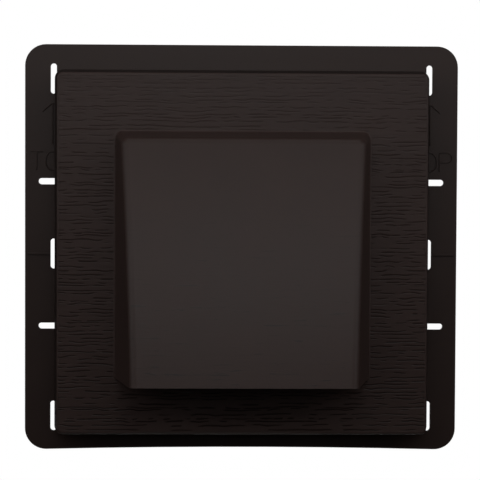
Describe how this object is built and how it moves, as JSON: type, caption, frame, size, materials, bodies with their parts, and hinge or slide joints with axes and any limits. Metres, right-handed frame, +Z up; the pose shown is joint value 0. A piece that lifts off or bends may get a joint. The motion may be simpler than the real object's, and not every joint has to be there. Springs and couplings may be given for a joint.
{
  "type": "hooded vent",
  "caption": "Square siding vent with a wood-grained clip-on cover, a wedge hood open below, a nail flange with slots, a round duct collar and a hinged damper.",
  "frame": {"origin": "the duct axis where it crosses the wall plane, on the back of the flange", "axes": "+Z up the wall, +Y along the duct into the wall, +X to the right seen from the front, which faces -Y"},
  "size_m": [0.2154, 0.1152, 0.2017],
  "materials": {
    "smooth_plastic": "smooth satin moulding",
    "grained_plastic": "moulded wood grain, matte",
    "damper_plastic": "smooth satin moulding"
  },
  "bodies": {
    "housing": {"mounting_base": "smooth_plastic", "hood_cover": "grained_plastic"},
    "flap": {"damper": "damper_plastic"}
  },
  "joints": [
    {"name": "damper_swing", "type": "hinge", "parent": "housing", "child": "flap", "pos_m": [0, -0.0075, 0.0535], "axis": [-1, 0, 0], "range_deg": [0, 25]}
  ]
}
